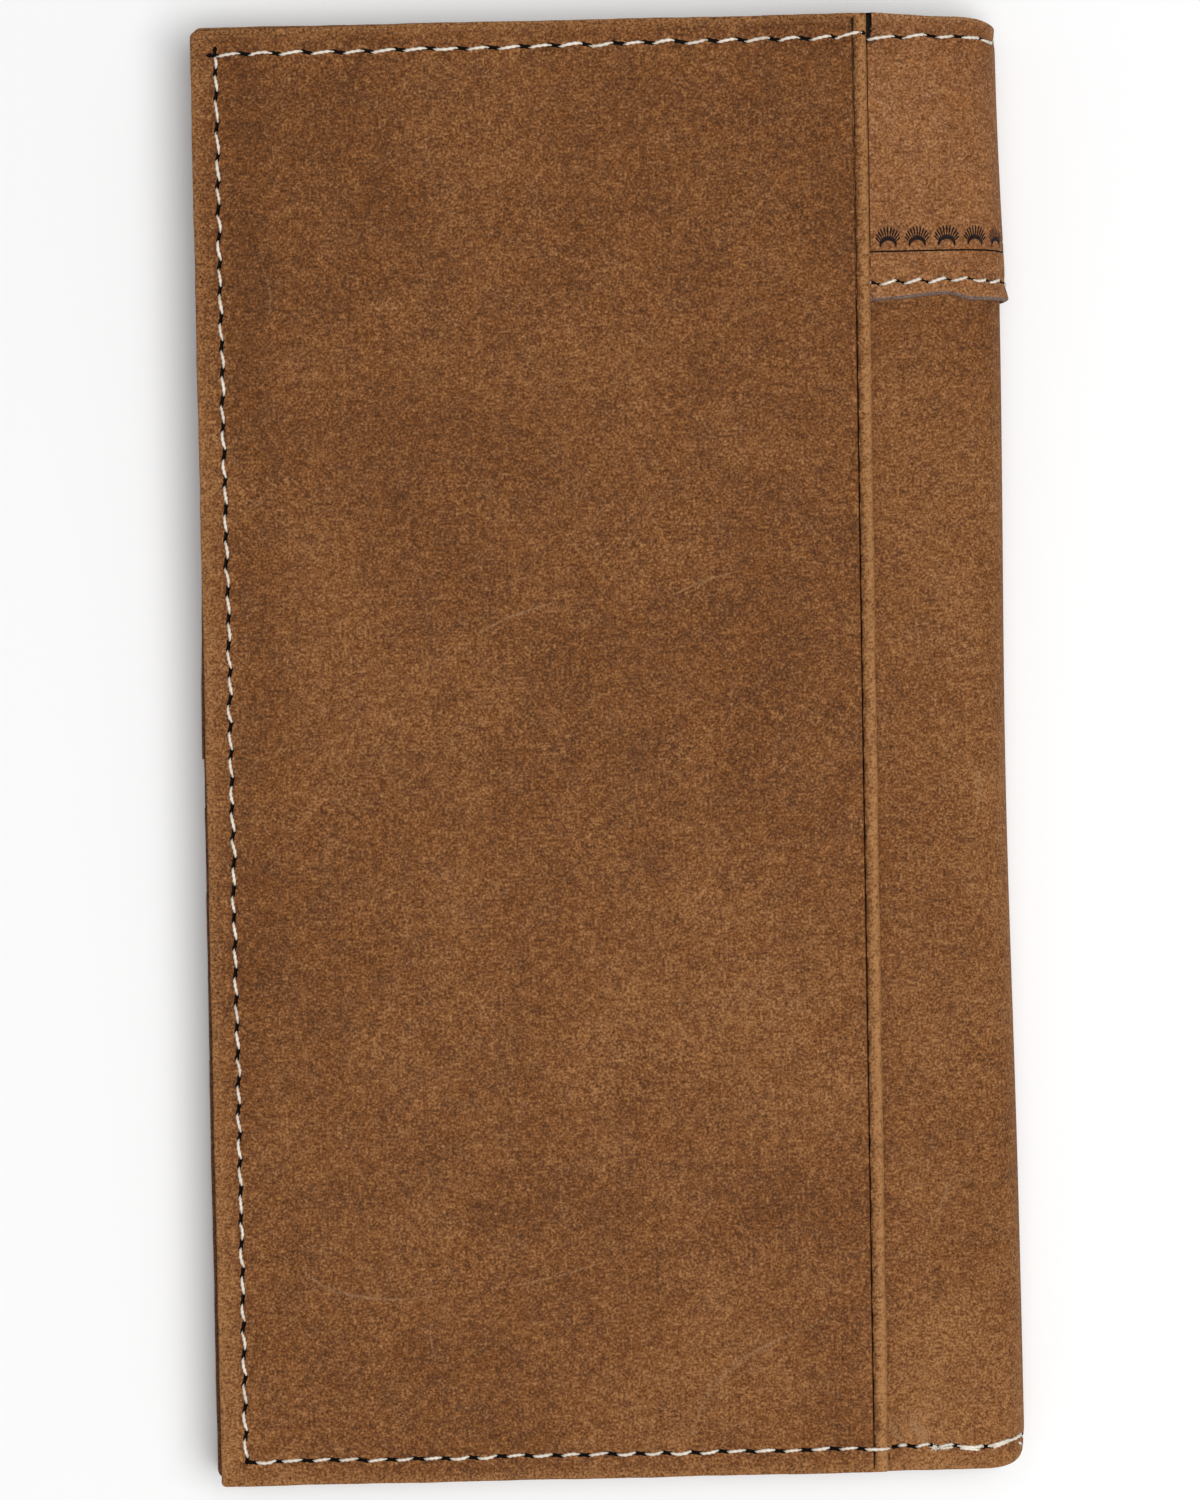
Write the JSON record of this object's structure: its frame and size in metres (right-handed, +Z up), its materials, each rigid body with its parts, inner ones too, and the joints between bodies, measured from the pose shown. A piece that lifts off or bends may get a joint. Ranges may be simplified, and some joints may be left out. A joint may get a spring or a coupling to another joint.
{
  "type": "checkbook cover",
  "caption": "Long fold-over leather checkbook cover with an outside slip pocket, a stamped yoke round the spine end, card pockets, a card window and a checkbook pocket.",
  "frame": {"origin": "middle of the closed cover's footprint, level with the lowest face that it rests on", "axes": "+X across the cover from its free edges to the spine, +Y along the spine to the yoke end, +Z up through the thickness with the back leaf on top"},
  "size_m": [0.097, 0.172, 0.0126],
  "materials": {
    "outer_leather": "matt, rubbed tan-brown leather with fine pale specks and light scratches",
    "yoke_leather": "matt, slightly paler brown leather with dark stamped border",
    "inner_leather": "matt brown leather with creased edges",
    "lining": "dark brown woven lining",
    "thread": "twisted cream sewing thread",
    "clear_vinyl": "clear flexible vinyl"
  },
  "bodies": {
    "front_leaf": {"outer_shell_front": "outer_leather", "yoke_front": "yoke_leather", "lining_front": "lining", "card_backing": "inner_leather", "card_pocket_1": "inner_leather", "card_pocket_2": "inner_leather", "card_pocket_3": "inner_leather", "card_pocket_4": "inner_leather", "card_pocket_5": "inner_leather", "card_pocket_6": "inner_leather", "card_pocket_7": "inner_leather", "card_pocket_8": "inner_leather", "edge_seam_front": "thread", "yoke_seam_front": "thread", "inner_seam_front": "thread", "pocket_seam": "thread"},
    "spine_1": {"outer_shell_spine_1": "outer_leather", "yoke_spine_1": "yoke_leather", "lining_spine_1": "lining", "spine_seam_1": "thread"},
    "spine_2": {"outer_shell_spine_2": "outer_leather", "yoke_spine_2": "yoke_leather", "lining_spine_2": "lining", "spine_seam_2": "thread"},
    "spine_3": {"outer_shell_spine_3": "outer_leather", "yoke_spine_3": "yoke_leather", "lining_spine_3": "lining", "spine_seam_3": "thread"},
    "back_leaf": {"outer_shell_back": "outer_leather", "yoke_back": "yoke_leather", "outside_pocket_panel": "outer_leather", "lining_back": "lining", "checkbook_pocket": "inner_leather", "card_window_pane": "clear_vinyl", "card_window_frame": "inner_leather", "edge_seam_back": "thread", "yoke_seam_back": "thread", "inner_seam_back": "thread", "window_seam": "thread"}
  },
  "joints": [
    {"name": "fold_1", "type": "hinge", "parent": "front_leaf", "child": "spine_1", "pos_m": [0.04468, 0, 0.00046], "axis": [0, 1, 0], "range_deg": [0, 45]},
    {"name": "fold_2", "type": "hinge", "parent": "spine_1", "child": "spine_2", "pos_m": [0.04799, 0, 0.00377], "axis": [0, 1, 0], "range_deg": [0, 45]},
    {"name": "fold_3", "type": "hinge", "parent": "spine_2", "child": "spine_3", "pos_m": [0.04799, 0, 0.00843], "axis": [0, 1, 0], "range_deg": [0, 45]},
    {"name": "fold_4", "type": "hinge", "parent": "spine_3", "child": "back_leaf", "pos_m": [0.04468, 0, 0.01174], "axis": [0, 1, 0], "range_deg": [0, 45]}
  ],
  "couplings": [
    {"joint": "fold_2", "follows": "fold_1", "ratio": 1},
    {"joint": "fold_3", "follows": "fold_1", "ratio": 1},
    {"joint": "fold_4", "follows": "fold_1", "ratio": 1}
  ]
}
